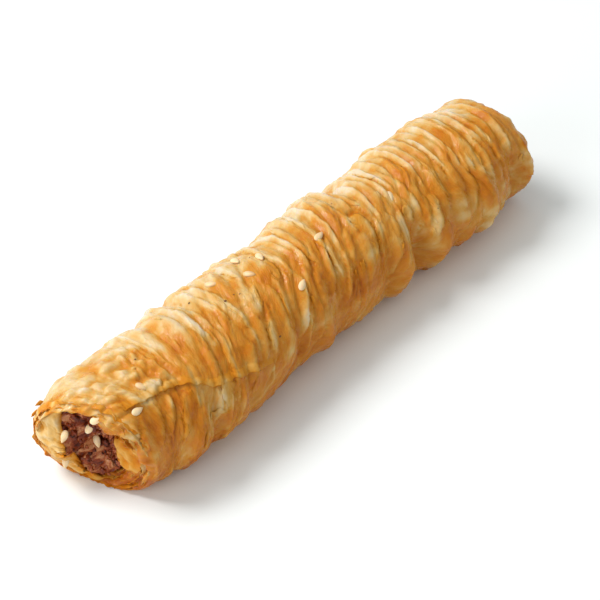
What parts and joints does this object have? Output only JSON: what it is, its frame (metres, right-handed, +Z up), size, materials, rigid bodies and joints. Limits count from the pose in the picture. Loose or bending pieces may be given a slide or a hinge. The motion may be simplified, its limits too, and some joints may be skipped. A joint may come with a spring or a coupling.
{
  "type": "rolled filled pastry",
  "caption": "Long baked roll of thin pleated pastry sheets round a minced filling, open at both ends, with sesame seeds.",
  "frame": {"origin": "on the floor under the middle of the bounding box", "axes": "+X along the roll, away from the mouth that shows its filling; +Z up; -Y towards the side with the outer sheet's free edge"},
  "size_m": [0.1574, 0.0375, 0.03],
  "materials": {
    "pastry": "baked, golden, lightly oiled",
    "filling": "moist minced filling"
  },
  "bodies": {
    "root": {"pastry": "pastry", "filling": "filling"}
  },
  "joints": []
}
